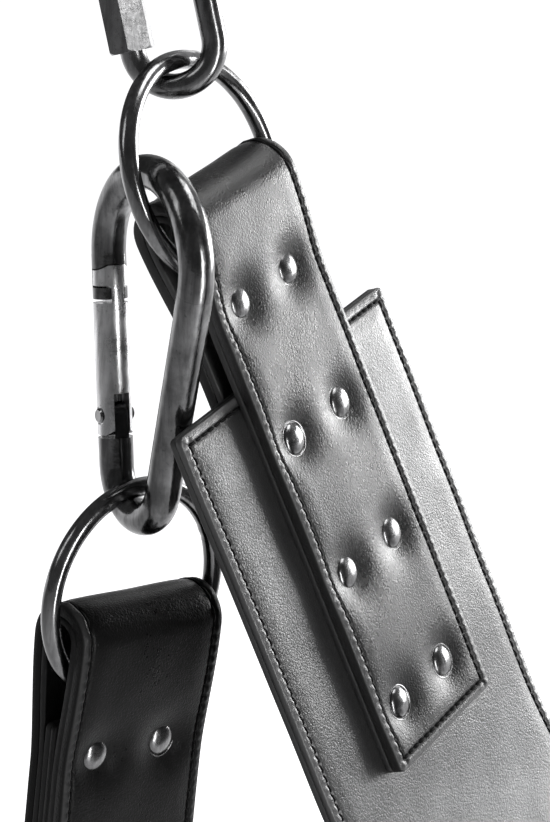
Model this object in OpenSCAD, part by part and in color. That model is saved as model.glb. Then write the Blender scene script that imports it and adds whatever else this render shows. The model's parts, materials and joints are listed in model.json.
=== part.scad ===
// Belt swing seat in leather: a wide two-ply seat belt hangs in a U between two suspensions.
// Each suspension is a round ring with a quick link above it. A snap hook on the same ring
// carries a second, smaller ring strap with a foot loop.
// Millimetres. +X runs along the seat to the right, +Y to the rear, +Z up. The origin is the
// left hang point, inside the top bow of the left quick link. The right side is a mirror image.

/* [Leather] */
// Thickness of one leather ply, two plies making every strap
ply = 2.4; // [2:0.1:2.5]
// Width of the hanger straps and foot loops
strap_w = 59; // [54:1:59]
// Width of the seat belt
belt_w = 121; // [110:1:140]

/* [Seat] */
// Slope of the belt's straight ends above the horizontal
slope = 68; // [64:1:70]
// Distance from the ring's centre to the end of the straight stretch
seat_run = 206; // [200:1:240]
// Radius of the sagging middle of the seat
seat_r = 190; // [170:5:210]
// Tilt of the seat and rings about X, front edge down
pitch = 12; // [8:1:14]
// Distance from the ring's centre to the belt's cut end
belt_start = 65; // [60:1:68]

/* [Rivets] */
// Distance from the upper ring's centre to the first row of rivets
first_row = 39.5; // [39:0.5:44]
// Distance from the lower ring's centre to the first row of rivets
foot_first_row = 50; // [45:0.5:52]
// Distance between rows
row_pitch = 46.5; // [44:0.5:48]
// Distance between the two rivets of a row
rivet_gap = 28; // [24:1:32]
// Distance of the rivets' middle line from the strap's, towards the front edge
rivet_shift = 2; // [0:0.5:3]
// Diameter of a rivet's domed cap
cap_d = 12; // [9:0.5:12]
// Height of the cap
cap_h = 2.6; // [2:0.1:3]
// Diameter of the shank
shank_d = 4; // [3:0.5:4.5]

/* [Rings] */
// Inside diameter of the welded rings
ring_id = 61; // [61:0.1:62]
// Diameter of their wire
ring_wire = 6; // [5.5:0.5:6]

/* [Quick link] */
// Diameter of the link's rod
link_rod = 8; // [7:0.5:8]
// Overall length of the link
link_length = 74; // [72:1:80]
// Overall width of the link
link_width = 33.5; // [32:0.5:36]
// Width across the flats of the hexagon nut
nut_af = 13; // [12:0.5:14]
// Lean of the link's top towards the outside of the seat
link_lean = 18; // [10:1:25]
// Twist of the link about its own length
link_twist = 25; // [15:1:30]

/* [Snap hook] */
// Diameter of the hook's wire
hook_wire = 11; // [10:0.5:11]
// Overall length of the hook
hook_length = 120; // [118:1:122]
// Mean radius of the wide upper bend
hook_top_r = 27; // [26:0.5:28]
// Mean radius of the narrow lower bend
hook_foot_r = 15; // [14.5:0.5:16]
// Turn of the hook about the vertical
hook_yaw = 27; // [20:1:30]

/* [Foot loop] */
// Turn of the lower ring and foot strap about the vertical
foot_yaw = 14; // [8:1:20]
// Lean of the foot strap in its own plane, towards the front
foot_lean = 3.5; // [0:0.5:5]
// Distance from the lower ring's centre to the start of the loop
loop_run = 222; // [218:1:240]
// Spread of each side of the loop from the vertical
loop_spread = 25; // [20:1:28]
// Radius of the bend at the top of each side
loop_blend_r = 70; // [60:1:80]
// Radius of the rounded foot rest
loop_r = 56; // [50:1:60]

/* [Hidden] */
$fn = 64;

// Leather pile-up: a hanger leg lies on each side of the two-ply belt
belt_half = ply;                    // half the belt's thickness
grip_half = 3 * ply;                // half the thickness that a rivet clamps
leather_end = 18.4;                 // leather left past the last row of rivets
fold_gap = 5.4;                     // half the gap of the fold that holds the ring
fold_close = 7.5;                   // how far below the first row the fold has closed on the belt
fold_top = 12.1;                    // depth of the centre of the fold's round top below the ring's centre
seat_rows = [for (i = [0:3]) first_row + i * row_pitch];
foot_rows = [for (i = [0:2]) foot_first_row + i * row_pitch];
foot_tail = loop_run - 50;          // depth at which the loop's tail ends behind the strap
closure_rows = [foot_tail + 11, loop_run - 11];
// Straight length of each side of the loop, which brings the tail flat against the strap's back
loop_side = (loop_r * cos(loop_spread) - loop_blend_r * (1 - cos(loop_spread)) - ply) / sin(loop_spread);
foot_belt_bite = 39;                // radius of the concave top edge of the foot belt

// Rings
ring_r = (ring_id + ring_wire) / 2;
wire_r = ring_wire / 2;
touch = 0.3;                        // clearance between hanging pieces of hardware

// Quick link, drawn upright from its lowest wire centre
rod_r = link_rod / 2;
bow_r = link_width / 2 - rod_r;
leg_h = link_length - link_width;
link_gap = 11;                      // opening that the nut closes
short_stub = 6;                     // stub below the opening
nut_h = leg_h - link_gap - short_stub - 1;
nut_bore_r = rod_r + 0.06;

// Snap hook, drawn upright from the wire centre of its crown
hook_r = hook_wire / 2;
hook_seat = [1.0, -22.8, 6.8];      // wire centre of the crown, in the upper ring's frame
bend_step = 0.04;                   // how much thinner the wire of a bend is drawn
bend_lap = 0.5;                     // how far a straight stretch runs into a bend
hook_top_z = -hook_top_r;
hook_foot_z = hook_foot_r + hook_wire - hook_length;
hook_span = hook_top_z - hook_foot_z;
slant = asin((hook_top_r - hook_foot_r) / hook_span);
side_len = hook_span * cos(slant);
pin_up = 16;                        // hinge pin above the lower end of the gate's side
pin_r = 1.5;
pin_head_r = 2.4;
pin_head = 0.9;
pin_seat = hook_r - 0.3;            // distance of the underside of the pin's heads from its middle
pin_play = 0.06;                    // clearance of the gate round the pin
cheek_play = 0.05;                  // clearance of the gate under the pin's heads
tang_half = 2.5;                    // half the thickness of the body's tang in the gate's fork
tang_r = 4.25;
fork_half = 2.7;
fork_top = 7;                       // top of the gate's fork slot above the pin
stub_top = -7.1;                    // top of the body's lower stub
gate_foot = -6.1;                   // foot of the gate
gate_turn_r = 6.6;                  // round of the gate's inner foot, so that it can turn
gate_shoulder = 35.3;               // height at which the gate's outer half ends
head_low = 40.8;                    // underside of the head of the gate's T-shaped tongue
head_bend = 42.2;                   // height from which the head narrows
gate_tip = 47.2;                    // top of the head
head_tip_half = 2.9;                // half the head's width there
web_half = 2.2;                     // half the width of the tongue below the head
tongue_back = 1.1;                  // reach of the tongue behind the pin's plane
tongue_play = 0.3;                  // clearance round the tongue
head_play = 0.6;                    // clearance under the head, so that the gate can turn
nose_tip = 36.6;                    // height at which the body's nose ends
bore_r = 2.6;                       // blind bore in the gate for the spring and plunger
bore_top = 31.5;
plunger_top = 13;
seat_play = 0.05;                   // clearance at the ends of the spring and plunger
spring_wire_r = 0.35;
spring_r = 2.0;
spring_turns = 9;

// Rotations of a point about the axes through the origin
function turned_x(p, a) = [p.x, p.y * cos(a) - p.z * sin(a), p.y * sin(a) + p.z * cos(a)];
function turned_y(p, a) = [p.x * cos(a) + p.z * sin(a), p.y, p.z * cos(a) - p.x * sin(a)];
// A direction or offset in the upper ring's own frame, turned into the seat's
function from_ring(p) = turned_x(turned_y(p, slope - 90), pitch);

// The quick link rests on the highest point of the upper ring, and the origin is inside its top
ring_high = atan(tan(pitch) / sin(slope));
ring_top = from_ring([0, ring_r * sin(ring_high), ring_r * cos(ring_high)]);
link_up = [-sin(link_lean), 0, cos(link_lean)];
ring_centre = -ring_top - (link_length - 2 * link_rod - wire_r - touch) * link_up;
link_foot = ring_centre + ring_top - (rod_r + wire_r + touch) * link_up;

// The snap hook hangs on the front of the upper ring, and the lower ring in its narrow end
hook_crown = ring_centre + from_ring(hook_seat);
foot_ring_drop = hook_length - hook_wire - hook_r - wire_r - touch + ring_r;
foot_ring_centre = hook_crown - [0, 0, foot_ring_drop];

half_span = seat_run * cos(slope) + seat_r * sin(slope);
mid_x = ring_centre.x + half_span;

// Flat paths and the strips of leather that follow them
function unit(v) = v / norm(v);
function reversed(p) = [for (i = [len(p) - 1:-1:0]) p[i]];
function arc(centre, r, from, to, steps) =
    [for (i = [0:steps]) let (a = from + (to - from) * i / steps) centre + r * [cos(a), sin(a)]];
function heading(p, i) =
    i == 0 ? unit(p[1] - p[0]) :
    i == len(p) - 1 ? unit(p[i] - p[i - 1]) :
    unit(unit(p[i] - p[i - 1]) + unit(p[i + 1] - p[i]));
function beside(p, d) =
    [for (i = [0:len(p) - 1]) let (h = heading(p, i)) p[i] + d * [-h.y, h.x]];
function strip(p, near, far) = concat(beside(p, near), reversed(beside(p, far)));

// Seat belt seen from the front, from its left end to its right end
seat_turn = [seat_run * cos(slope), -seat_run * sin(slope)];
seat_mid = seat_turn + seat_r * [sin(slope), cos(slope)];
seat_path = concat(
    [belt_start * [cos(slope), -sin(slope)]],
    arc(seat_mid, seat_r, 270 - slope, 270 + slope, 48),
    [[2 * half_span - belt_start * cos(slope), -belt_start * sin(slope)]]);

// Inner face of one leg of a hanger, from the fold down to its end, closing gently on the belt
// until the depth shut
leg_steps = 14;
function leg_path(shut, end) = concat(
    [for (i = [1:leg_steps]) let (k = i / leg_steps)
        [belt_half + (fold_gap - belt_half) * (1 + cos(180 * k)) / 2, -fold_top - (shut - fold_top) * k]],
    [[belt_half, -end]]);
// The whole inner face, up the back leg, over the ring's wire and down the front leg
function hanger_path(rows) =
    let (leg = leg_path(rows[0] + fold_close, rows[len(rows) - 1] + leather_end))
    concat(reversed([for (p = leg) [-p.x, p.y]]), arc([0, -fold_top], fold_gap, 180, 0, 16), leg);

// Foot belt: down the front, round the foot rest and up to the tail on the back
blend_end = [loop_blend_r * (1 - cos(loop_spread)), -loop_run - loop_blend_r * sin(loop_spread)];
rest_start = blend_end + loop_side * [sin(loop_spread), -cos(loop_spread)];
rest_mid = rest_start - loop_r * [cos(loop_spread), sin(loop_spread)];
foot_side = concat(
    arc([loop_blend_r, -loop_run], loop_blend_r, 180, 180 + loop_spread, 6),
    [rest_start]);
function foot_path() = concat(
    [[0, 0]],
    foot_side,
    arc(rest_mid, loop_r, loop_spread - 7.5, -180 - loop_spread + 7.5, 32),
    reversed([for (p = foot_side) [2 * rest_mid.x - p.x, p.y]]),
    [[2 * rest_mid.x, -foot_tail]]);

// Frames of the pieces
module on_right() { translate([2 * mid_x, 0, 0]) mirror([1, 0, 0]) children(); }
module at_seat() { translate(ring_centre) rotate([pitch, 0, 0]) children(); }
module at_ring() { at_seat() rotate([0, slope - 90, 0]) children(); }
module at_link() { translate(link_foot) rotate([0, -link_lean, 0]) rotate([0, 0, link_twist]) children(); }
module at_hook() { translate(hook_crown) rotate([0, 0, -hook_yaw]) children(); }
module at_pin() {
    at_hook()
        translate([-hook_foot_r * cos(slant), 0, hook_foot_z - hook_foot_r * sin(slant)])
            rotate([0, -slant, 0]) translate([0, 0, pin_up]) children();
}
module at_foot_ring() {
    translate(foot_ring_centre) rotate([0, 0, -foot_yaw]) rotate([-foot_lean, 0, 0]) children();
}

// Shapes shared by several pieces
module plate(points, width) { rotate([90, 0, 0]) linear_extrude(width, center = true) polygon(points); }
module rod_arc(r, wire, from, to) {
    rotate([90, 0, 0]) rotate([0, 0, from]) rotate_extrude(angle = to - from)
        translate([r, 0]) circle(wire);
}
module wire_ring() { rotate([0, 90, 0]) rotate_extrude($fn = 96) translate([ring_r, 0]) circle(wire_r); }
module at_rivets(rows, depth = 0) {
    for (row = rows) for (side = [-1, 1])
        translate([depth, side * rivet_gap / 2 - rivet_shift, -row]) rotate([0, 90, 0]) children();
}
module rivet_holes(rows) { at_rivets(rows) cylinder(d = shank_d + 0.2, h = 12 * ply, center = true); }

// A rivet with a domed cap at both ends, clamping leather from z = -grip to z = grip
module rivet(grip) {
    rim = 0.6;
    cap_r = cap_d / 2;
    dome_h = cap_h - rim;
    dome_r = (cap_r * cap_r + dome_h * dome_h) / (2 * dome_h);
    dome_a = asin(cap_r / dome_r);
    dome = [for (i = [0:7]) let (a = dome_a * (1 - i / 7))
        [dome_r * sin(a), grip + cap_h - dome_r * (1 - cos(a))]];
    half = concat([[shank_d / 2, grip], [cap_r, grip]], dome);
    rotate_extrude() polygon(concat(half, reversed([for (p = half) [p.x, -p.y]])));
}

// One ply of a folded hanger, with round pockets where the first rivets pull the fold shut
module hanger_ply(rows, near, far) {
    difference() {
        plate(strip(hanger_path(rows), near, far), strap_w);
        rivet_holes(rows);
        for (face = [-1, 1]) at_rivets([rows[0]], face * (grip_half + ply))
            cylinder(d = cap_d + 0.6, h = 2 * ply, center = true);
    }
}

// Seat belt and its hangers
module seat_ply(near, far) {
    difference() {
        at_seat() plate(strip(seat_path, near, far), belt_w);
        at_ring() rivet_holes([for (i = [1:3]) seat_rows[i]]);
        on_right() at_ring() rivet_holes([for (i = [1:3]) seat_rows[i]]);
    }
}
module seat_belt_top() { color("#3a3b3e") seat_ply(0, ply); }
module seat_belt_lining() { color("#242527") seat_ply(-ply, 0); }
module hanger_outer() { color("#333437") at_ring() hanger_ply(seat_rows, ply, 2 * ply); }
module hanger_lining() { color("#222325") at_ring() hanger_ply(seat_rows, 0, ply); }
module seat_rivets() { color("#c4c6c9") at_ring() at_rivets(seat_rows) rivet(grip_half); }

// Rings and quick link
module ring() { color("#a9acb0") at_ring() wire_ring(); }
module foot_ring() { color("#a9acb0") at_foot_ring() wire_ring(); }
module link() {
    color("#b2b5b9") at_link() {
        translate([0, 0, bow_r]) rod_arc(bow_r, rod_r, 180, 360);
        translate([0, 0, bow_r + leg_h]) rod_arc(bow_r, rod_r, 0, 180);
        translate([bow_r, 0, bow_r]) cylinder(r = rod_r, h = leg_h);
        translate([-bow_r, 0, bow_r]) cylinder(r = rod_r, h = short_stub);
        translate([-bow_r, 0, bow_r + short_stub + link_gap])
            cylinder(r = rod_r, h = leg_h - short_stub - link_gap);
    }
}
module link_nut() {
    corner_r = nut_af / 2 / cos(30);
    bevel = 0.9;
    color("#9da0a4") at_link() translate([-bow_r, 0, bow_r + 0.5]) difference() {
        intersection() {
            rotate([0, 0, 30]) cylinder(r = corner_r, h = nut_h, $fn = 6);
            rotate_extrude() polygon([
                [0, 0], [corner_r - bevel, 0], [corner_r, bevel],
                [corner_r, nut_h - bevel], [corner_r - bevel, nut_h], [0, nut_h]]);
        }
        translate([0, 0, -1]) cylinder(r = nut_bore_r, h = nut_h + 2);
    }
}

// Snap hook. The straight stretches run a little into the bends, whose wire is a hair thinner,
// so that each joint is a clean step.
module hook_bend(r, from, to) { rod_arc(r, hook_r - bend_step, from, to); }
module hook_loop() {
    translate([0, 0, hook_top_z]) hook_bend(hook_top_r, -slant, 180 + slant);
    translate([0, 0, hook_foot_z]) hook_bend(hook_foot_r, 180 + slant, 360 - slant);
    translate([hook_foot_r * cos(slant), 0, hook_foot_z - hook_foot_r * sin(slant)])
        rotate([0, slant, 0]) translate([0, 0, -bend_lap])
            cylinder(r = hook_r, h = side_len + 2 * bend_lap);
}
module hook_tang() {
    foot = stub_top - 1;
    difference() {
        plate(concat([[-tang_r, foot]], arc([0, 0], tang_r, 180, 0, 16), [[tang_r, foot]]), 2 * tang_half);
        rotate([90, 0, 0]) cylinder(r = pin_r + 0.02, h = 4 * tang_half, center = true);
    }
}
// Outline of the gate's T-shaped tongue, or with play, of the slot for it
function tongue_outline(play, under) =
    let (side = [
        [web_half + play, 0], [web_half + play, head_low - under],
        [hook_wire, head_low - under], [hook_wire, head_bend + play],
        [head_tip_half + play, gate_tip + play]])
    concat(side, reversed([for (p = side) [-p.x, p.y]]));
module tongue_prism(play, under) {
    translate([-tongue_back - play, 0, 0]) rotate([90, 0, 90])
        linear_extrude(hook_wire) polygon(tongue_outline(play, under));
}
module hook_nose() {
    difference() {
        translate([0, 0, nose_tip])
            cylinder(r = hook_r, h = side_len - pin_up - nose_tip + bend_lap);
        tongue_prism(tongue_play, head_play);
    }
}
module hook() {
    color("#9fa2a6") {
        at_hook() hook_loop();
        at_pin() {
            translate([0, 0, -pin_up - bend_lap]) cylinder(r = hook_r, h = pin_up + bend_lap + stub_top);
            hook_tang();
            hook_nose();
        }
    }
}
module gate_pin() {
    edge = 0.5;
    half = [
        [pin_r, pin_seat], [pin_head_r, pin_seat], [pin_head_r, pin_seat + pin_head - edge],
        [pin_head_r - edge, pin_seat + pin_head], [0, pin_seat + pin_head]];
    color("#c9cbce") at_pin() rotate([90, 0, 0]) rotate_extrude()
        polygon(concat(reversed([for (p = half) [p.x, -p.y]]), half));
}
module gate() {
    color("#b7babd") at_pin() difference() {
        union() {
            translate([0, 0, gate_foot]) cylinder(r = hook_r, h = gate_shoulder - gate_foot);
            intersection() {
                translate([0, 0, gate_shoulder - 0.5])
                    cylinder(r = hook_r, h = gate_tip - gate_shoulder + 0.5);
                tongue_prism(0, 0);
            }
        }
        // Fork for the tang, and the flats that the pin's heads sit on
        translate([-hook_wire, -fork_half, gate_foot - 1])
            cube([2 * hook_wire, 2 * fork_half, fork_top + 1 - gate_foot]);
        rotate([90, 0, 0]) cylinder(r = pin_r + pin_play, h = 2 * hook_wire, center = true);
        for (side = [-1, 1]) translate([0, side * (hook_r + pin_seat - cheek_play), 0])
            rotate([90, 0, 0]) cylinder(r = pin_head_r + 0.4, h = 2 * hook_r, center = true);
        // Round the inner foot about the pin
        difference() {
            translate([0.01, -hook_wire, gate_foot - 1]) cube([hook_wire, 2 * hook_wire, 1 - gate_foot]);
            rotate([90, 0, 0]) cylinder(r = gate_turn_r, h = 3 * hook_wire, center = true);
        }
        // Bore for the spring
        translate([0, 0, fork_top - 1]) cylinder(r = bore_r, h = bore_top - fork_top + 1);
    }
}
module gate_plunger() {
    color("#d2d4d6") at_pin() translate([0, 0, tang_r + seat_play])
        cylinder(r = bore_r - 0.1, h = plunger_top - tang_r - seat_play);
}
// Round wire coiled on a helix, swept as one closed tube
module coil(r, wire, low, high, turns) {
    sides = 6;
    steps = 14 * turns;
    rings = [for (i = [0:steps]) let (a = 360 * turns * i / steps, z = low + (high - low) * i / steps)
        [for (j = [0:sides - 1]) let (b = 360 * j / sides)
            [(r + wire * cos(b)) * cos(a), (r + wire * cos(b)) * sin(a), z + wire * sin(b)]]];
    polyhedron(
        points = [for (ring = rings) for (p = ring) p],
        faces = concat(
            [[for (j = [0:sides - 1]) j]],
            [for (i = [0:steps - 1]) for (j = [0:sides - 1]) let (k = (j + 1) % sides)
                [i * sides + j, (i + 1) * sides + j, (i + 1) * sides + k, i * sides + k]],
            [[for (j = [sides - 1:-1:0]) steps * sides + j]]));
}
module gate_spring() {
    end = spring_wire_r + seat_play;
    color("#8f9296") at_pin()
        coil(spring_r, spring_wire_r, plunger_top + end, bore_top - end, spring_turns);
}

// Foot loop
module foot_ply(near, far) {
    difference() {
        at_foot_ring() plate(strip(foot_path(), near, far), strap_w);
        at_foot_ring() rotate([0, 90, 0])
            cylinder(r = foot_belt_bite, h = 6 * ply, center = true, $fn = 96);
        at_foot_ring() rivet_holes(concat(foot_rows, closure_rows));
    }
}
module foot_hanger_outer() { color("#1d1e20") at_foot_ring() hanger_ply(foot_rows, ply, 2 * ply); }
module foot_hanger_lining() { color("#161718") at_foot_ring() hanger_ply(foot_rows, 0, ply); }
module foot_belt_outer() { color("#1f2022") foot_ply(0, ply); }
module foot_belt_lining() { color("#18191a") foot_ply(-ply, 0); }
module foot_hanger_rivets() { color("#c4c6c9") at_foot_ring() at_rivets(foot_rows) rivet(grip_half); }
module foot_loop_rivets() {
    color("#c4c6c9") at_foot_ring() at_rivets(closure_rows, -ply) rivet(2 * ply);
}

seat_belt_top();
seat_belt_lining();
hanger_outer();  // left_hanger_outer
hanger_lining();  // left_hanger_lining
seat_rivets();  // left_seat_rivets
ring();  // left_ring
link();  // left_link
link_nut();  // left_link_nut
hook();  // left_hook
gate_pin();  // left_gate_pin
gate();  // left_gate
gate_spring();  // left_gate_spring
gate_plunger();  // left_gate_plunger
foot_ring();  // left_foot_ring
foot_hanger_outer();  // left_foot_hanger_outer
foot_hanger_lining();  // left_foot_hanger_lining
foot_belt_outer();  // left_foot_belt_outer
foot_belt_lining();  // left_foot_belt_lining
foot_hanger_rivets();  // left_foot_hanger_rivets
foot_loop_rivets();  // left_foot_loop_rivets
on_right() hanger_outer();  // right_hanger_outer
on_right() hanger_lining();  // right_hanger_lining
on_right() seat_rivets();  // right_seat_rivets
on_right() ring();  // right_ring
on_right() link();  // right_link
on_right() link_nut();  // right_link_nut
on_right() hook();  // right_hook
on_right() gate_pin();  // right_gate_pin
on_right() gate();  // right_gate
on_right() gate_spring();  // right_gate_spring
on_right() gate_plunger();  // right_gate_plunger
on_right() foot_ring();  // right_foot_ring
on_right() foot_hanger_outer();  // right_foot_hanger_outer
on_right() foot_hanger_lining();  // right_foot_hanger_lining
on_right() foot_belt_outer();  // right_foot_belt_outer
on_right() foot_belt_lining();  // right_foot_belt_lining
on_right() foot_hanger_rivets();  // right_foot_hanger_rivets
on_right() foot_loop_rivets();  // right_foot_loop_rivets
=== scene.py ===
"""Looks of the belt swing seat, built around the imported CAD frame.

Metres, in the CAD's own frame. The left suspension is built piece by piece, and every piece of it
is built again as a mirror image on the right. Leather plies are closed meshes over a flat curve,
with rounded edges, sewn grooves and the swell between rivets; the thread is real geometry.
"""
import json
import math

import bpy
import numpy as np
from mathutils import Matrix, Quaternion, Vector


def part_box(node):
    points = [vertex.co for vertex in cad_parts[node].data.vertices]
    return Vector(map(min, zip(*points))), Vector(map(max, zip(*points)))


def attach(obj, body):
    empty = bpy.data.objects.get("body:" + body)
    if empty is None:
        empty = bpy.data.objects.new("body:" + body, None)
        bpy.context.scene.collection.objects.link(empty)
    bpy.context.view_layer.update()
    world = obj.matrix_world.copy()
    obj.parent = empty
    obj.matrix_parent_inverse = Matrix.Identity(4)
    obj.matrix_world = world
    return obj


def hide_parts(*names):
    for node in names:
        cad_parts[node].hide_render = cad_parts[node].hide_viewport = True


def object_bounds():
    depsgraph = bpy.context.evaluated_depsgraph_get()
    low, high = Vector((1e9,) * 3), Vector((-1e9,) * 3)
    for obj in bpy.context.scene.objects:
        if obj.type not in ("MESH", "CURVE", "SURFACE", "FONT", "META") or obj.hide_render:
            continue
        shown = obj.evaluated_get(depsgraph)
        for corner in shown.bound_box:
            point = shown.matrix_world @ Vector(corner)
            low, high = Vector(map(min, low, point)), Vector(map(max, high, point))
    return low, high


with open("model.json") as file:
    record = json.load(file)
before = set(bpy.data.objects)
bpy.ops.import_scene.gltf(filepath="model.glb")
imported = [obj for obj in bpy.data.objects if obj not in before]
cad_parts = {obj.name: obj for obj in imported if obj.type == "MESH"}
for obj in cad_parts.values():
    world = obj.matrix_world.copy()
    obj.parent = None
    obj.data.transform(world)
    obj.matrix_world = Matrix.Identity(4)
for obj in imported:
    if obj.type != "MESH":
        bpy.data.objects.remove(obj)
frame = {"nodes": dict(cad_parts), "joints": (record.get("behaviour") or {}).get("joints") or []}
cad_bounds = [list(corner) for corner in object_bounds()]

# ---------------------------------------------------------------------------------- sizes
PLY = 0.0024            # one leather ply
STRAP_HALF = 0.0295     # half the width of the hangers and foot straps
BELT_HALF = 0.0605      # half the width of the seat belt
SLOPE = math.radians(68)
SEAT_RUN = 0.206        # upper ring's centre to the end of the belt's straight stretch
SEAT_R = 0.190          # radius of the belt's round middle
BELT_START = 0.065      # upper ring's centre to the belt's cut end

ROW_PITCH = 0.0465
SEAT_ROWS = [0.0395 + i * ROW_PITCH for i in range(4)]  # rows of rivets, from the upper ring's centre
FOOT_ROWS = [0.050 + i * ROW_PITCH for i in range(3)]   # the same, from the lower ring's centre
RIVET_SIDES = (-0.016, 0.012)           # a row's two rivets, from the strap's middle
LEATHER_END = 0.0184    # leather past the last row
FOLD_GAP = 0.0054       # half the gap of the fold round the ring
FOLD_TOP = 0.0121       # ring's centre to the centre of the fold's round
FOLD_CLOSE = 0.0075     # how far below its first row the fold has closed
CAP_R = 0.006           # radius and height of a rivet's cap
CAP_H = 0.0026
CAP_FOOT = 0.0008       # how far a cap goes on into the leather

LOOP_RUN = 0.222        # lower ring's centre to the end of the foot loop's straight legs
LOOP_SPREAD = math.radians(25)      # how far the legs lean out below that
LOOP_BLEND_R = 0.070    # radius of the bend where they start to lean
LOOP_R = 0.056          # radius of the foot rest
FOOT_TAIL = LOOP_RUN - 0.050        # lower ring's centre to the cut end of the loop's back leg
CLOSURE_ROWS = [FOOT_TAIL + 0.011, LOOP_RUN - 0.011]
FOOT_BELT_START = 0.0395            # lower ring's centre to the cut end of the loop's front leg

RING_WIRE = 0.003       # radius of the rings' wire

# Sewing
STITCH_IN = 0.0036      # stitch line to the cut edge
STITCH_PITCH = 0.0034
STITCH_REACH = 0.46 * STITCH_PITCH  # half the length of one stitch
STITCH_SLANT = 0.00016  # how far a stitch's ends lie beside the seam's middle
STITCH_RISE = 0.0002    # how far the thread's middle lies above the groove
STITCH_DIVE = 0.0006    # how far a stitch's ends go down
STITCH_TAPER = 0.94     # nearer to 1 is a sharper end
THREAD_R = 0.00046
THREAD_RINGS = 9
THREAD_SIDES = 6
GROOVE_HALF = 0.0006
GROOVE_DEPTH = 0.00035
NEEDLE_DEPTH = 0.0005   # how much deeper the groove is at a needle's hole

# The leather's relief
EDGE_ROUND = 0.0007
CORNER_R = 0.0022
DIMPLE_R = 0.0062       # reach of the dimple round a rivet
DIMPLE_SINK = 0.0013    # how far a rivet sinks into the leather
SWELL = 0.0015          # how far the leather swells between the rivets
UNEVENNESS = 0.00012
LIP = 0.00045           # height of the lip between the seam and the cut edge
LIP_RISE = (0.0006, 0.0018)         # these are distances from the cut edge
LIP_FALL = (0.0024, 0.0034)
INSIDE = 0.0003         # how much higher the leather is inside its seam
INSIDE_RISE = (0.0044, 0.009)
CUT_MASK = (0, 0.0002)
CUT_MASK_UNDER = (0, 0.0006)
# Where the bevel's painted highlight lies, as distances from the cut edge
BEVEL_HIGHLIGHT_MASK = (0.0012, 0.0026)

# Spacing of the meshes' vertices, along the leather and across it
BORDER = 0.001 * np.array([
    0, .12, .3, .55, .9, 1.4, 1.9, 2.35, 2.75, 3.1, 3.4, 3.7, 4.0, 4.4, 5.0, 6.0])
PATH_STEP = 0.0004
PATH_SOFTENING = 4      # steps to each side that a path's direction is the mean of
HANGER_MESH = (0.00085, 0.0016)
HANGER_LINING_MESH = (0.002, 0.005)
SEAT_BELT_MESH = (0.00085, 0.002)
FOOT_BELT_MESH = (0.00085, 0.0022)


# ---------------------------------------------------------------------------------- places
def unit(v):
    v = np.asarray(v, float)
    return v / np.linalg.norm(v)


def middle(node):
    low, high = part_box(node)
    return (np.array(low) + np.array(high)) / 2


class Place:
    """A frame on the object: x out of the shown face, y along the width, z up the strap."""

    def __init__(self, origin, x, y):
        self.origin = np.asarray(origin, float)
        x, y = unit(x), unit(y)
        self.axes = np.array([x, y, np.cross(x, y)])

    def at(self, points):
        return self.origin + np.asarray(points, float) @ self.axes


JOINTS = {joint["name"]: joint for joint in frame["joints"]}
MIDDLE_X = middle("seat_belt_top")[0]

ring_centre = middle("left_ring")
ring_axis = np.array(JOINTS["left_ring_tilt"]["axis"])
strap_up = unit(ring_centre - np.array(JOINTS["left_ring_tilt"]["pos_m"]))
RING = Place(ring_centre, np.cross(ring_axis, strap_up), ring_axis)
SEAT = Place(ring_centre, (1, 0, 0), ring_axis)

foot_axis = np.array(JOINTS["left_foot_loop_tilt"]["axis"])
FOOT = Place(middle("left_foot_ring"), np.cross(foot_axis, (0, 0, 1)), foot_axis)
ring_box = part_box("left_ring")
RING_R = (ring_box[1] - ring_box[0])[1] / 2 / abs(RING.axes[1][1]) - RING_WIRE


# ---------------------------------------------------------------------------------- curves
def arc(middle_point, r, start, end, steps):
    a = np.radians(np.linspace(start, end, steps + 1))
    return np.array(middle_point) + r * np.column_stack([np.cos(a), np.sin(a)])


class Path:
    """A flat curve in a frame's x-z plane, measured along its length. Its left is the normal."""

    def __init__(self, *stretches):
        points = np.vstack(stretches)
        apart = np.hypot(*np.diff(points, axis=0).T)
        points = points[np.r_[True, apart > 1e-7]]
        ends = np.r_[0, np.cumsum(np.hypot(*np.diff(points, axis=0).T))]
        s = np.linspace(0, ends[-1], int(ends[-1] / PATH_STEP))
        self.s, self.length = s, ends[-1]
        self.points = np.column_stack([np.interp(s, ends, points[:, k]) for k in (0, 1)])
        run = np.gradient(self.points, s, axis=0)
        width = 2 * PATH_SOFTENING + 1
        mean = np.ones(width) / width
        padded = [np.pad(run[:, k], PATH_SOFTENING, "edge") for k in (0, 1)]
        run = np.column_stack([np.convolve(column, mean, "valid") for column in padded])
        self.run = run / np.linalg.norm(run, axis=1)[:, None]

    def at(self, s, height):
        """x and z at a length along the curve and a height above it."""
        x, z = (np.interp(s, self.s, self.points[:, k]) for k in (0, 1))
        run_x, run_z = (np.interp(s, self.s, self.run[:, k]) for k in (0, 1))
        return x - height * run_z, z + height * run_x


def hanger_path(rows):
    """Inner face of a folded hanger: up the back, over the ring's wire and down the front."""
    shut = rows[0] + FOLD_CLOSE
    k = np.linspace(0, 1, 60)[1:]
    closing = np.column_stack([
        PLY + (FOLD_GAP - PLY) * (1 + np.cos(np.pi * k)) / 2, -FOLD_TOP - (shut - FOLD_TOP) * k])
    front = np.vstack([closing, [[PLY, -rows[-1] - LEATHER_END]]])
    back = front[::-1] * (-1, 1)
    return Path(back, arc((0, -FOLD_TOP), FOLD_GAP, 180, 0, 40), front)


def seat_path():
    """Down from the left suspension, round under the seat and up to the right one."""
    turn = np.array([SEAT_RUN * math.cos(SLOPE), -SEAT_RUN * math.sin(SLOPE)])
    centre = turn + SEAT_R * np.array([math.sin(SLOPE), math.cos(SLOPE)])
    start = BELT_START * np.array([math.cos(SLOPE), -math.sin(SLOPE)])
    slope = math.degrees(SLOPE)
    return Path([start], arc(centre, SEAT_R, 270 - slope, 270 + slope, 200),
                [[2 * centre[0] - start[0], start[1]]])


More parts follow.
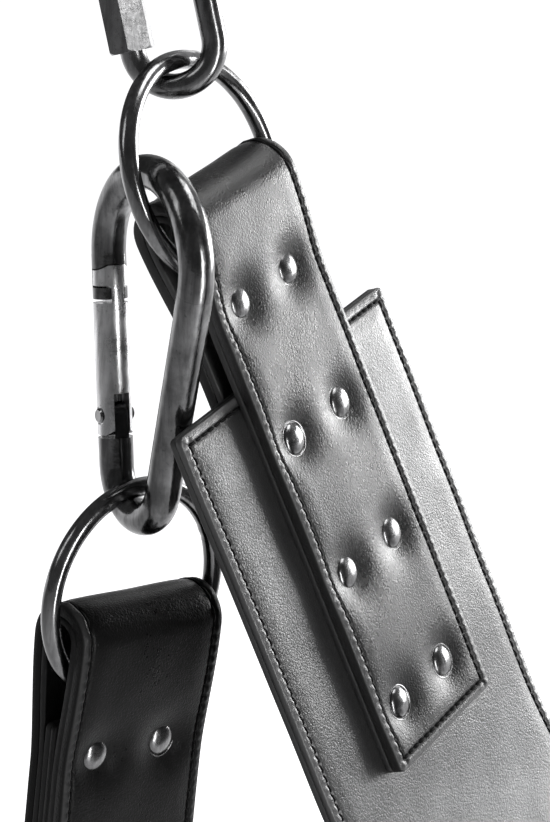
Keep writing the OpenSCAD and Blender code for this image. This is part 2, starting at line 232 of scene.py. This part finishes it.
def foot_path():
    """Down the front, round the foot rest and up the back to the tail."""
    spread_angle = math.degrees(LOOP_SPREAD)
    side = (LOOP_R * math.cos(LOOP_SPREAD) - LOOP_BLEND_R * (1 - math.cos(LOOP_SPREAD)) - PLY)
    side /= math.sin(LOOP_SPREAD)
    blend = arc((LOOP_BLEND_R, -LOOP_RUN), LOOP_BLEND_R, 180, 180 + spread_angle, 30)
    rest = blend[-1] + side * np.array([math.sin(LOOP_SPREAD), -math.cos(LOOP_SPREAD)])
    centre = rest - LOOP_R * np.array([math.cos(LOOP_SPREAD), math.sin(LOOP_SPREAD)])
    foot_rest = arc(centre, LOOP_R, spread_angle, -180 - spread_angle, 120)
    across = np.array([2 * centre[0], 0])
    back = (across + blend * (-1, 1))[::-1]
    return Path([[0, -FOOT_BELT_START]], blend, foot_rest, back, [[2 * centre[0], -FOOT_TAIL]])


# ---------------------------------------------------------------------------------- meshes
def add_piece(name, verts, faces, material, body, stands_for=(), masks=None):
    """One piece, riding on its body, with the point masks that its material reads."""
    mesh = bpy.data.meshes.new(name)
    mesh.from_pydata(verts.tolist(), [], faces)
    for mask, values in (masks or {}).items():
        attribute = mesh.attributes.new(mask, "FLOAT", "POINT")
        attribute.data.foreach_set("value", values.astype(np.float32))
    mesh.shade_smooth()
    piece = bpy.data.objects.new(name, mesh)
    bpy.context.scene.collection.objects.link(piece)
    piece.data.materials.append(material)
    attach(piece, body)
    if stands_for:
        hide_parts(*stands_for)


def add_pair(name, verts, faces, material, body, stands_for=(), masks=None):
    """A left piece and its mirror image. Bodies and nodes are named without their side."""
    mirrored = verts * (-1, 1, 1) + (2 * MIDDLE_X, 0, 0)
    flipped = [face[::-1] for face in faces]
    for side, v, f in (("left_", verts, faces), ("right_", mirrored, flipped)):
        rides = body if body == "seat" else side + body
        nodes = [side + node for node in stands_for]
        add_piece(side + name, v, f, material, rides, nodes, masks)


def quads(rows, columns, start, flip):
    """Faces of a grid of vertices that is rows long, columns wide and begins at a number."""
    i, j = np.meshgrid(np.arange(rows - 1), np.arange(columns - 1), indexing="ij")
    a = start + i * columns + j
    corners = [a, a + columns, a + columns + 1, a + 1]
    if flip:
        corners.reverse()
    return np.stack([c.ravel() for c in corners], 1).tolist()


def spread(length, step):
    """Places along a length, close together at both borders."""
    count = max(2, round((length - 2 * BORDER[-1]) / step))
    inner = np.linspace(BORDER[-1], length - BORDER[-1], count)
    return np.concatenate([BORDER[:-1], inner, length - BORDER[-2::-1]])


def smooth(x, low, high):
    """0 up to low and 1 from high on, with a soft rise between them."""
    t = np.clip((x - low) / (high - low), 0, 1)
    return t * t * (3 - 2 * t)


def rounded_drop(edge, r):
    """How far a rounded edge lies below the face, at a distance from the cut."""
    return r - np.sqrt(np.maximum(r * r - np.clip(r - edge, 0, r) ** 2, 0))


class Ply:
    """One leather ply over a path, from the height low to the height high on one side of it."""

    def __init__(self, place, path, half, low, high, side=1, rivets=(), swell=0.0, sewn=True,
                 seed=0):
        self.place, self.path, self.half, self.side = place, path, half, side
        self.low, self.high, self.rivets, self.swell = low, high, rivets, swell
        self.sewn, self.seed = sewn, seed
        self.long_count = round((path.length - 2 * STITCH_IN) / STITCH_PITCH)
        self.wide_count = round((2 * half - 2 * STITCH_IN) / STITCH_PITCH)

    def edge(self, s, v):
        """Distance to the nearest cut edge."""
        return np.minimum(np.minimum(s, self.path.length - s), self.half - abs(v))

    def undulation(self, s, v):
        """Slow unevenness that hand-cut leather has: three crossing waves, shifted by the seed."""
        p = self.seed
        return (np.sin(61 * s + 23 * v + p) * np.sin(47 * v + 2 * p)
                + 0.6 * np.sin(139 * s - 83 * v + 3 * p) + 0.35 * np.sin(260 * v + 171 * s + p))

    def needle(self, s, v):
        """1 at the needle's holes and 0 half way between them."""
        long_seam, wide_seam = self.path.length - 2 * STITCH_IN, 2 * self.half - 2 * STITCH_IN
        along = np.where(self.half - abs(v) < np.minimum(s, self.path.length - s),
                         (s - STITCH_IN) / long_seam * self.long_count,
                         (v + self.half - STITCH_IN) / wide_seam * self.wide_count)
        return 0.5 + 0.5 * np.cos(2 * np.pi * along)

    def open_share(self, s, v):
        """0 at a rivet's middle, rising to 1 away from it."""
        share = np.ones_like(s)
        for rivet_s, rivet_v in self.rivets:
            share *= 1 - np.exp(-((s - rivet_s) ** 2 + (v - rivet_v) ** 2) / (2 * DIMPLE_R ** 2))
        return share

    def groove(self, s, v):
        """1 on the seams, falling to 0 beside them."""
        return np.exp(-((self.edge(s, v) - STITCH_IN) / GROOVE_HALF) ** 2)

    def height(self, s, v):
        """Height of the shown face above the path, before its edge is rounded."""
        edge, share = self.edge(s, v), self.open_share(s, v)
        h = self.high + UNEVENNESS * self.undulation(s, v)
        h += self.swell * share
        if self.rivets:
            h -= DIMPLE_SINK * (1 - share)
        if self.sewn:
            needle = self.needle(s, v)
            h -= self.groove(s, v) * (GROOVE_DEPTH + NEEDLE_DEPTH * needle)
            lip = smooth(edge, *LIP_RISE) * (1 - smooth(edge, *LIP_FALL))
            h += LIP * lip * (1 - needle)
            h += INSIDE * smooth(edge, *INSIDE_RISE)
        return h

    def world(self, s, v, height):
        """Points on the object, from lengths along the path, places across it and heights."""
        x, z = self.path.at(s, self.side * height)
        return self.place.at(np.stack([x, v, z], -1).reshape(-1, 3))

    def rounded(self, s, v):
        """Pulls the four square corners in to a round."""
        a = np.clip(1 - np.minimum(s, self.path.length - s) / CORNER_R, 0, 1)
        b = np.clip(1 - (self.half - abs(v)) / CORNER_R, 0, 1)
        end = np.where(s < self.path.length / 2, -1, 1)
        return (s - end * CORNER_R * a * (1 - np.sqrt(1 - b * b / 2)),
                v - np.sign(v) * CORNER_R * b * (1 - np.sqrt(1 - a * a / 2)))

    def mesh(self, step, cross_step):
        """Vertices, faces and the masks of the cut edge, of the painted highlight on its bevel and of
        the painted shade in the sewn groove.
        """
        s = spread(self.path.length, step)
        v = spread(2 * self.half, cross_step) - self.half
        last = len(v) - 1
        # The hidden face has fewer columns than the shown one.
        kept = sorted({0, 2, 4, last - 4, last - 2, last, *range(9, last - 8, 6)})
        grid_s, grid_v = np.meshgrid(s, v, indexing="ij")
        edge = self.edge(grid_s, grid_v)
        top = self.height(grid_s, grid_v) - rounded_drop(edge, EDGE_ROUND)
        under = self.low + rounded_drop(edge, EDGE_ROUND / 3)[:, kept]
        shown = self.world(*self.rounded(grid_s, grid_v), top)
        hidden = self.world(*self.rounded(grid_s[:, kept], grid_v[:, kept]), under)
        faces = self.faces(len(s), len(v), kept)
        cut = 1 - smooth(edge, *CUT_MASK)
        cut_under = 1 - smooth(edge[:, kept], *CUT_MASK_UNDER)
        # Mask of the painted highlight along the bevel: a lighter band for the light that it catches
        bevel = smooth(edge, *CUT_MASK) * (1 - smooth(edge, *BEVEL_HIGHLIGHT_MASK))
        # Mask of the painted shade in the sewn groove, darkest at the needle holes
        needle = 0.5 + 0.5 * self.needle(grid_s, grid_v)
        groove_shade = self.groove(grid_s, grid_v) * needle * self.sewn
        nothing = np.zeros(cut_under.size)
        return np.vstack([shown, hidden]), faces, {
            "cut": np.r_[cut.ravel(), cut_under.ravel()],
            "bevel": np.r_[bevel.ravel(), nothing],
            "groove_shade": np.r_[groove_shade.ravel(), nothing]}

    def faces(self, rows, wide, kept):
        """The shown face's grid, the hidden face's grid and the four walls between them."""
        few, base = len(kept), rows * wide
        flip = self.side < 0
        faces = quads(rows, wide, 0, not flip) + quads(rows, few, base, flip)
        for row in range(rows - 1):
            for column, k, turn in ((0, 0, flip), (wide - 1, few - 1, not flip)):
                a, b = row * wide + column, base + row * few + k
                wall = [a, a + wide, b + few, b]
                faces.append(wall[::-1] if turn else wall)
        for row, turn in ((0, not flip), (rows - 1, flip)):
            for k in range(few - 1):
                above = [row * wide + j for j in range(kept[k], kept[k + 1] + 1)]
                wall = above + [base + row * few + k + 1, base + row * few + k]
                faces.append(wall[::-1] if turn else wall)
        return faces

    def seams(self):
        """For each of the four seams, the s and v of its stitches' middles, and whether it runs
        along s and along v."""
        length, half = self.path.length, self.half
        for v in (-half + STITCH_IN, half - STITCH_IN):
            k = (np.arange(self.long_count) + 0.5) / self.long_count
            yield STITCH_IN + k * (length - 2 * STITCH_IN), np.full(len(k), v), 1, 0
        for s in (STITCH_IN, length - STITCH_IN):
            k = (np.arange(self.wide_count) + 0.5) / self.wide_count
            yield np.full(len(k), s), -half + STITCH_IN + k * (2 * half - 2 * STITCH_IN), 0, 1

    def stitches(self):
        """The thread of the whole seam: one short arched stitch between each two needle holes."""
        t = np.linspace(-1, 1, THREAD_RINGS)[:, None]
        thick = THREAD_R * np.sqrt(1 - (STITCH_TAPER * t) ** 2) ** 0.7
        around = 2 * np.pi * np.arange(THREAD_SIDES) / THREAD_SIDES
        beside, above = thick * np.cos(around), thick * np.sin(around)
        verts, faces = [], []
        for s, v, along_s, along_v in self.seams():
            offset_s = along_s * t * STITCH_REACH + along_v * STITCH_SLANT * t
            offset_v = along_v * t * STITCH_REACH + along_s * STITCH_SLANT * t
            base = self.height(s, v)
            inward = (along_s > 0) == (self.side > 0)
            for k in range(len(s)):
                start = sum(map(len, verts))
                verts.append(self.world(
                    s[k] + offset_s + along_v * beside, v[k] + offset_v + along_s * beside,
                    base[k] + STITCH_RISE - STITCH_DIVE * t ** 4 + above))
                faces += stitch_faces(start, inward)
        return np.vstack(verts), faces


def stitch_faces(start, inward):
    """Faces of one stitch's closed tube, whose vertices begin at a number."""
    faces = []
    for i in range(THREAD_RINGS - 1):
        ring, beyond = start + i * THREAD_SIDES, start + (i + 1) * THREAD_SIDES
        for j in range(THREAD_SIDES):
            k = (j + 1) % THREAD_SIDES
            faces.append([ring + j, beyond + j, beyond + k, ring + k])
    last = start + (THREAD_RINGS - 1) * THREAD_SIDES
    faces.append([start + j for j in range(THREAD_SIDES)])
    faces.append([last + j for j in reversed(range(THREAD_SIDES))])
    return [face[::-1] for face in faces] if inward else faces


def lathe(profile, sides):
    """A closed turned shape about x, from (x, r) points that start and end on the axis."""
    inner = np.array(profile[1:-1])
    a = 2 * np.pi * np.arange(sides) / sides
    rings = [[x * np.ones(sides), r * np.cos(a), r * np.sin(a)] for x, r in inner]
    verts = np.concatenate([np.stack(ring, 1) for ring in rings])
    verts = np.vstack([verts, [profile[0][0], 0, 0], [profile[-1][0], 0, 0]])
    faces = []
    for i in range(len(inner) - 1):
        for j in range(sides):
            k = (j + 1) % sides
            faces.append([i * sides + j, i * sides + k, (i + 1) * sides + k, (i + 1) * sides + j])
    first, last = len(inner) * sides, len(inner) * sides + 1
    for j in range(sides):
        k = (j + 1) % sides
        faces.append([first, k, j])
        faces.append([last, (len(inner) - 1) * sides + j, (len(inner) - 1) * sides + k])
    return verts, faces


def cap_profile():
    """Section of a rivet's cap: a dome inside a thin rolled rim."""
    rim_top = 0.42 * CAP_H
    rim_level, rim_r, rim_half = 0.75 * rim_top, 0.93 * CAP_R, 0.07 * CAP_R
    dome_level, dome_r = 0.8 * rim_top, 0.83 * CAP_R
    dome_angles = np.radians(np.linspace(0, 90, 12))[1:]
    rim_angles = np.radians(np.linspace(150, -60, 9))
    dome = [(dome_level + (CAP_H - dome_level) * math.cos(a) ** 1.15, dome_r * math.sin(a))
            for a in dome_angles]
    rim = [(rim_level + rim_half * math.sin(a), rim_r + rim_half * math.cos(a))
           for a in rim_angles]
    return [(CAP_H, 0)] + dome + rim + [(-CAP_FOOT, 0.9 * CAP_R), (-CAP_FOOT, 0)]


def add_rivets(name, place, rows, centre, grip, body, node):
    """Both caps of every rivet. Centre is the x of the leather's middle, and grip is how far
    from there a cap would sit if it didn't sink in."""
    cap, cap_faces = lathe(cap_profile(), 40)
    verts, faces = [], []
    for row in rows:
        for side in RIVET_SIDES:
            for face in (1, -1):
                start = sum(map(len, verts))
                seat = (centre + face * (grip - DIMPLE_SINK), side, -row)
                verts.append(place.at(cap * (face, face, 1) + seat))
                faces += [[start + k for k in f] for f in cap_faces]
    add_pair(name, np.vstack(verts), faces, RIVET, body, [node])


def add_ring(name, place, body, node, weld):
    """A ring, with the slight bead of its weld at an angle in degrees."""
    around, sides = 220, 28
    u = 2 * np.pi * np.arange(around) / around
    w = 2 * np.pi * np.arange(sides) / sides
    away = np.abs((np.degrees(u) - weld + 180) % 360 - 180)
    bead = 0.045 * np.exp(-(away / 2.2) ** 2)
    undercut = 0.03 * np.exp(-((away - 4.5) / 1.5) ** 2)
    wire = RING_WIRE * (1 + bead - undercut)[:, None]
    r = RING_R + wire * np.cos(w)
    verts = np.stack([wire * np.sin(w), r * np.cos(u)[:, None], r * np.sin(u)[:, None]], -1)
    faces = [[i * sides + j, i * sides + (j + 1) % sides,
              (i + 1) % around * sides + (j + 1) % sides, (i + 1) % around * sides + j]
             for i in range(around) for j in range(sides)]
    verts = place.at(verts.reshape(-1, 3))
    add_pair(name, verts, faces, RING_STEEL, body, [node])


# ---------------------------------------------------------------------------------- materials
class Nodes:
    """A short way to write a material's nodes and the links between them."""

    def __init__(self, name):
        self.material = bpy.data.materials.new(name)
        self.material.use_nodes = True
        self.tree = self.material.node_tree
        self.shader = self.tree.nodes["Principled BSDF"]
        self.place = self.add("ShaderNodeTexCoord").outputs["Object"]

    def add(self, kind, links=None, **values):
        node = self.tree.nodes.new(kind)
        for key, value in values.items():
            setattr(node, key, value)
        for socket, value in (links or {}).items():
            self.set(node.inputs[socket], value)
        return node

    def set(self, socket, value):
        if isinstance(value, bpy.types.NodeSocket):
            self.tree.links.new(value, socket)
        else:
            socket.default_value = value

    def noise(self, scale, detail=3.0, rough=0.55, vector=None):
        return self.add("ShaderNodeTexNoise", {
            "Vector": vector or self.place, "Scale": scale, "Detail": detail, "Roughness": rough,
        }).outputs["Fac"]

    def stretched(self, scale):
        mapping = self.add("ShaderNodeMapping", {"Vector": self.place, "Scale": scale})
        return mapping.outputs["Vector"]

    def ramp(self, value, low, high, from_low=0.3, from_high=0.7):
        return self.add("ShaderNodeMapRange", {
            "Value": value, "From Min": from_low, "From Max": from_high, "To Min": low, "To Max": high,
        }).outputs["Result"]

    def mix(self, share, a, b):
        node = self.add("ShaderNodeMix", {"Factor": share}, data_type="RGBA")
        self.set(node.inputs["A"], a)
        self.set(node.inputs["B"], b)
        return node.outputs["Result"]

    def math(self, operation, a, b):
        node = self.add("ShaderNodeMath", operation=operation)
        self.set(node.inputs[0], a)
        self.set(node.inputs[1], b)
        return node.outputs[0]

    def mask(self, name):
        return self.add("ShaderNodeAttribute", attribute_name=name).outputs["Fac"]

    def bump(self, height, strength, distance, normal=None):
        links = {"Height": height, "Strength": strength, "Distance": distance}
        if normal is not None:
            links["Normal"] = normal
        return self.add("ShaderNodeBump", links).outputs["Normal"]


def grey(value):
    return (value, value, value * 1.01, 1.0)


def leather(name, low, high, bevel, rough, specular):
    """Black grained leather: pebbles, pores, handling marks, a painted highlight along the bevel and
    painted shade in the sewn groove, darkest at the needle holes.
    """
    n = Nodes(name)
    cells = n.add("ShaderNodeTexVoronoi", {"Vector": n.place, "Scale": 900.0, "Randomness": 1.0},
                  feature="DISTANCE_TO_EDGE").outputs["Distance"]
    pebbles = n.ramp(cells, 0.0, 1.0, from_low=0.0, from_high=0.22)
    pores = n.noise(scale=1700.0, detail=3.0)
    marks = n.noise(scale=55.0, detail=4.0, rough=0.62)
    mottle = n.noise(scale=420.0, detail=3.0, rough=0.6)
    cut, bevel_mask, groove_shade = n.mask("cut"), n.mask("bevel"), n.mask("groove_shade")
    marked = n.ramp(marks, 0.0, 1.0, from_low=0.32, from_high=0.68)
    colour = n.mix(marked, grey(low), grey(high))
    colour = n.mix(n.ramp(mottle, 0.0, 0.35), colour, grey(low * 0.75))
    colour = n.mix(cut, colour, grey(high * 1.2))
    # Painted highlight: the bevel is coloured lighter, for the light that it catches
    colour = n.mix(bevel_mask, colour, grey(bevel))
    # Painted shade: the sewn groove is coloured darker, most at the needle holes
    holes = n.ramp(groove_shade, 0.0, 0.95, from_low=0.2, from_high=0.8)
    colour = n.mix(holes, colour, grey(low * 0.1))
    n.set(n.shader.inputs["Base Color"], colour)
    gloss = n.ramp(marks, rough + 0.06, rough - 0.06)
    gloss = n.math("ADD", gloss, n.ramp(mottle, -0.04, 0.05))
    gloss = n.math("ADD", gloss, n.ramp(cut, 0.0, 0.12, from_low=0.2, from_high=0.9))
    n.set(n.shader.inputs["Roughness"], gloss)
    n.shader.inputs["Specular IOR Level"].default_value = specular
    normal = n.bump(pebbles, strength=0.4, distance=0.00009)
    normal = n.bump(pores, strength=0.8, distance=0.00013, normal=normal)
    waves = n.noise(scale=160.0, detail=3.0)
    normal = n.bump(waves, strength=0.14, distance=0.0005, normal=normal)
    n.set(n.shader.inputs["Normal"], normal)
    return n.material


def steel(name, low, high, rough, scratch):
    """Worn polished steel: smudges, scratches along the height, small dings and dark pits."""
    n = Nodes(name)
    drawn = n.stretched((1.0, 1.0, 0.08))
    smudge = n.noise(scale=90.0, detail=5.0, rough=0.65)
    fine = n.noise(scale=1500.0, detail=3.0, rough=0.6, vector=drawn)
    streak = n.noise(scale=420.0, detail=4.0, rough=0.6, vector=drawn)
    pits = n.noise(scale=700.0, detail=2.0)
    dings = n.noise(scale=210.0, detail=3.0, rough=0.5)
    smudged = n.ramp(smudge, 0.0, 1.0, from_low=0.35, from_high=0.65)
    colour = n.mix(smudged, grey(low), grey(high))
    streaked = n.ramp(streak, 0.0, 0.6, from_low=0.42, from_high=0.62)
    colour = n.mix(streaked, colour, grey(low * 0.55))
    pitted = n.ramp(pits, 0.0, 0.7, from_low=0.66, from_high=0.8)
    colour = n.mix(pitted, colour, grey(low * 0.4))
    n.set(n.shader.inputs["Base Color"], colour)
    n.shader.inputs["Metallic"].default_value = 1.0
    gloss = n.ramp(smudge, rough * 0.65, rough * 1.5)
    gloss = n.math("ADD", gloss, n.ramp(fine, -0.03, 0.05))
    n.set(n.shader.inputs["Roughness"], gloss)
    normal = n.bump(fine, strength=0.25 * scratch, distance=0.00006)
    normal = n.bump(dings, strength=0.45 * scratch, distance=0.0003, normal=normal)
    n.set(n.shader.inputs["Normal"], normal)
    return n.material


def thread_material():
    n = Nodes("waxed_thread")
    wave = n.add("ShaderNodeTexWave", {"Vector": n.place, "Scale": 900.0, "Distortion": 1.5})
    twist = wave.outputs["Fac"]
    n.set(n.shader.inputs["Base Color"], n.mix(twist, grey(0.003), grey(0.012)))
    n.shader.inputs["Roughness"].default_value = 0.7
    n.shader.inputs["Specular IOR Level"].default_value = 0.15
    n.set(n.shader.inputs["Normal"], n.bump(twist, strength=0.5, distance=0.0001))
    return n.material


# One black leather throughout: the seat belt's is coloured lighter and the foot straps' darker than the
# hangers', as painted sheen and painted shade, and their linings follow
SEAT_LEATHER = leather("seat_leather", low=0.018, high=0.03, bevel=0.09, rough=0.34, specular=1.0)
SEAT_LINING = leather(
    "seat_lining_leather", low=0.015, high=0.025, bevel=0.04, rough=0.44, specular=0.7)
STRAP_LEATHER = leather("strap_leather", low=0.01, high=0.017, bevel=0.08, rough=0.29, specular=0.46)
FOOT_LEATHER = leather("foot_leather", low=0.004, high=0.006, bevel=0.04, rough=0.33, specular=0.16)
FOOT_LINING = leather(
    "foot_lining_leather", low=0.006, high=0.012, bevel=0.03, rough=0.44, specular=0.25)
THREAD = thread_material()
RIVET = steel("rivet_nickel", low=0.18, high=0.32, rough=0.2, scratch=0.8)
RING_STEEL = steel("ring_steel", low=0.24, high=0.34, rough=0.15, scratch=0.45)
LINK_STEEL = steel("link_steel", low=0.22, high=0.32, rough=0.2, scratch=0.6)
NUT_STEEL = steel("nut_steel", low=0.16, high=0.26, rough=0.24, scratch=0.8)
HOOK_STEEL = steel("hook_steel", low=0.13, high=0.28, rough=0.15, scratch=0.9)
GATE_STEEL = steel("gate_steel", low=0.7, high=0.9, rough=0.28, scratch=0.7)
PIN_STEEL = steel("pin_steel", low=0.3, high=0.4, rough=0.16, scratch=0.4)
SPRING_STEEL = steel("spring_steel", low=0.2, high=0.28, rough=0.25, scratch=0.4)


def keep_nodes():
    """CAD pieces whose shape is right get a finish of their own."""
    finish = {
        "link": LINK_STEEL, "link_nut": NUT_STEEL, "hook": HOOK_STEEL, "gate": GATE_STEEL,
        "gate_pin": PIN_STEEL, "gate_spring": SPRING_STEEL, "gate_plunger": PIN_STEEL}
    for side in ("left_", "right_"):
        for node, material in finish.items():
            for slot in frame["nodes"][side + node].material_slots:
                slot.material = material


# ---------------------------------------------------------------------------------- the object
def rivet_places(path, rows):
    """Rivets of a hanger, measured along its path on both legs."""
    end = rows[-1] + LEATHER_END
    return [(s, v) for row in rows for v in RIVET_SIDES for s in (end - row, path.length - end + row)]


def add_hanger(name, place, rows, body, outer, lining, nodes, seed):
    path = hanger_path(rows)
    rivets = rivet_places(path, rows)
    skin = Ply(place, path, STRAP_HALF, PLY, 2 * PLY, rivets=rivets, swell=SWELL, seed=seed)
    verts, faces, masks = skin.mesh(*HANGER_MESH)
    add_pair(name + "_outer_leather", verts, faces, outer, body, [nodes[0]], masks)
    under = Ply(place, path, STRAP_HALF, 0, PLY, sewn=False, seed=seed + 1)
    verts, faces, masks = under.mesh(*HANGER_LINING_MESH)
    add_pair(name + "_lining_leather", verts, faces, lining, body, [nodes[1]], masks)
    verts, faces = skin.stitches()
    add_pair(name + "_thread", verts, faces, THREAD, body)


def add_seat_belt():
    path = seat_path()
    for side, name, material, slot, seed in (
            (1, "seat_belt_top", SEAT_LEATHER, "seat_leather", 5),
            (-1, "seat_belt_lining", SEAT_LINING, "seat_lining", 8)):
        ply = Ply(SEAT, path, BELT_HALF, 0, PLY, side, seed=seed)
        verts, faces, masks = ply.mesh(*SEAT_BELT_MESH)
        add_piece(name + "_leather", verts, faces, material, "seat", [name], masks)
        verts, faces = ply.stitches()
        add_piece(name + "_thread", verts, faces, THREAD, "seat")


def add_foot_belt():
    path = foot_path()
    for side, name, material, slot, seed in (
            (1, "foot_belt_outer", FOOT_LEATHER, "foot_leather", 11),
            (-1, "foot_belt_lining", FOOT_LINING, "foot_lining", 14)):
        ply = Ply(FOOT, path, STRAP_HALF, 0, PLY, side, seed=seed)
        verts, faces, masks = ply.mesh(*FOOT_BELT_MESH)
        add_pair(name + "_leather", verts, faces, material, "foot_loop", [name], masks)
        verts, faces = ply.stitches()
        add_pair(name + "_thread", verts, faces, THREAD, "foot_loop")


keep_nodes()
add_seat_belt()
add_hanger("hanger", RING, SEAT_ROWS, "seat", STRAP_LEATHER, SEAT_LINING,
           ("hanger_outer", "hanger_lining"), seed=1)
add_hanger("foot_hanger", FOOT, FOOT_ROWS, "foot_loop", FOOT_LEATHER, FOOT_LINING,
           ("foot_hanger_outer", "foot_hanger_lining"), seed=3)
add_foot_belt()
add_rivets("seat_rivet_caps", RING, SEAT_ROWS, 0, 3 * PLY, "seat", "seat_rivets")
add_rivets("foot_hanger_rivet_caps", FOOT, FOOT_ROWS, 0, 3 * PLY, "foot_loop", "foot_hanger_rivets")
# The foot loop's closure has no dimples, so its caps don't sink in.
add_rivets("foot_loop_rivet_caps", FOOT, CLOSURE_ROWS, -PLY, 2 * PLY + DIMPLE_SINK,
           "foot_loop", "foot_loop_rivets")
add_ring("ring_wire", RING, "ring", "ring", weld=62)
add_ring("foot_ring_wire", FOOT, "foot_ring", "foot_ring", weld=30)


# ---------------------------------------------------------------------------------- studio
CAMERA_AZIMUTH, CAMERA_ELEVATION, CAMERA_ROLL = 30.18, 16.98, 3.9
CAMERA_DISTANCE = 0.9225
CAMERA_AIM = ring_centre + (0.0342, -0.0047, -0.0696)
FOCAL_LENGTH, SENSOR_WIDTH = 131.4, 36.0    # millimetres

BACKDROP = 0.85             # how bright the floor and the wall behind it look
BRIGHT_SIDE = (172, 10)     # azimuth and elevation of the middle of the studio's bright wall
WALL_FADE = (0.55, 0.97)    # cosines of the angles from there where the wall is dim and bright
WALL_LIGHT = (0.08, 0.6)
FLOOR_DROP = 0.12           # the floor below the object
FLOOR_REACH = 30.0
GLOW_FADE = (0.1, 1.2)      # distances behind the seat where the floor's glow starts and is full
GLOW_LIGHT = (0.12, 1.0)


def direction(azimuth, elevation):
    """From the object outwards, in degrees. Azimuth 0 is the front, towards -Y."""
    a, e = math.radians(azimuth), math.radians(elevation)
    return np.array([math.sin(a) * math.cos(e), -math.cos(a) * math.cos(e), math.sin(e)])


def aimed(obj, location, target, roll=0.0):
    obj.location = location
    look = Vector(np.asarray(target) - np.asarray(location)).to_track_quat("-Z", "Y")
    obj.rotation_mode = "QUATERNION"
    obj.rotation_quaternion = look @ Quaternion((0, 0, 1), math.radians(roll))


def add_camera():
    data = bpy.data.cameras.new("camera")
    data.lens = FOCAL_LENGTH
    data.sensor_width = SENSOR_WIDTH
    data.clip_start = 0.01
    camera = bpy.data.objects.new("camera", data)
    bpy.context.scene.collection.objects.link(camera)
    back = direction(CAMERA_AZIMUTH, CAMERA_ELEVATION)
    aimed(camera, CAMERA_AIM + back * CAMERA_DISTANCE, CAMERA_AIM, CAMERA_ROLL)
    bpy.context.scene.camera = camera


def add_panel(name, azimuth, elevation, distance, size, power):
    """A softbox that faces the point that the camera is aimed at."""
    data = bpy.data.lights.new(name, "AREA")
    data.shape = "RECTANGLE"
    data.size, data.size_y = size
    data.energy = power
    light = bpy.data.objects.new(name, data)
    bpy.context.scene.collection.objects.link(light)
    light.visible_camera = False
    aimed(light, CAMERA_AIM + direction(azimuth, elevation) * distance, CAMERA_AIM)


def add_floor():
    """A pale floor that glows behind the seat, and looks evenly bright to the camera."""
    n = Nodes("pale_floor")
    across = n.add("ShaderNodeSeparateXYZ", {"Vector": n.place})
    aside = n.math("MULTIPLY", across.outputs["X"], 0.5)
    behind = n.math("SUBTRACT", across.outputs["Y"], aside)
    n.shader.inputs["Base Color"].default_value = grey(0.8)
    n.shader.inputs["Roughness"].default_value = 0.9
    n.shader.inputs["Emission Color"].default_value = grey(1.0)
    seen = n.add("ShaderNodeLightPath").outputs["Is Camera Ray"]
    glow = n.ramp(behind, *GLOW_LIGHT, *GLOW_FADE)
    look = n.math("MULTIPLY", seen, BACKDROP)
    n.set(n.shader.inputs["Emission Strength"], n.math("MAXIMUM", glow, look))
    low = cad_bounds[0][2] - FLOOR_DROP
    corners = [(x * FLOOR_REACH, y * FLOOR_REACH, low) for x, y in ((-1, -1), (1, -1), (1, 1), (-1, 1))]
    mesh = bpy.data.meshes.new("floor")
    mesh.from_pydata(corners, [], [(0, 1, 2, 3)])
    mesh.materials.append(n.material)
    floor = bpy.data.objects.new("floor", mesh)
    bpy.context.scene.collection.objects.link(floor)


def add_world():
    """Soft light that is brightest on one side. The camera sees a bright backdrop all round."""
    world = bpy.data.worlds.new("studio")
    bpy.context.scene.world = world
    world.use_nodes = True
    tree = world.node_tree
    background = tree.nodes["Background"]
    place = tree.nodes.new("ShaderNodeTexCoord")
    bright = tree.nodes.new("ShaderNodeVectorMath")
    bright.operation = "DOT_PRODUCT"
    bright.inputs[1].default_value = direction(*BRIGHT_SIDE)
    tree.links.new(place.outputs["Generated"], bright.inputs[0])
    fade = tree.nodes.new("ShaderNodeMapRange")
    fade.inputs["From Min"].default_value, fade.inputs["From Max"].default_value = WALL_FADE
    fade.inputs["To Min"].default_value, fade.inputs["To Max"].default_value = WALL_LIGHT
    tree.links.new(bright.outputs["Value"], fade.inputs["Value"])
    seen = tree.nodes.new("ShaderNodeLightPath").outputs["Is Camera Ray"]
    backdrop = tree.nodes.new("ShaderNodeMath")
    backdrop.operation = "MULTIPLY_ADD"
    backdrop.inputs[1].default_value = BACKDROP
    tree.links.new(seen, backdrop.inputs[0])
    tree.links.new(fade.outputs["Result"], backdrop.inputs[2])
    tree.links.new(backdrop.outputs["Value"], background.inputs["Strength"])
    background.inputs["Color"].default_value = grey(1.0)


add_camera()
add_floor()
add_world()
add_panel("rear_right_panel", azimuth=156, elevation=8, distance=1.3, size=(0.74, 0.5), power=15)
add_panel("rear_panel", azimuth=196, elevation=14, distance=1.5, size=(0.5, 0.9), power=2)
add_panel("top_panel", azimuth=150, elevation=62, distance=1.5, size=(0.9, 0.6), power=9)
add_panel("front_right_panel", azimuth=72, elevation=0, distance=1.3, size=(0.16, 1.1), power=8)
add_panel("front_left_panel", azimuth=-40, elevation=35, distance=1.5, size=(0.4, 0.7), power=1.6)
bpy.context.scene.view_settings.view_transform = "Standard"
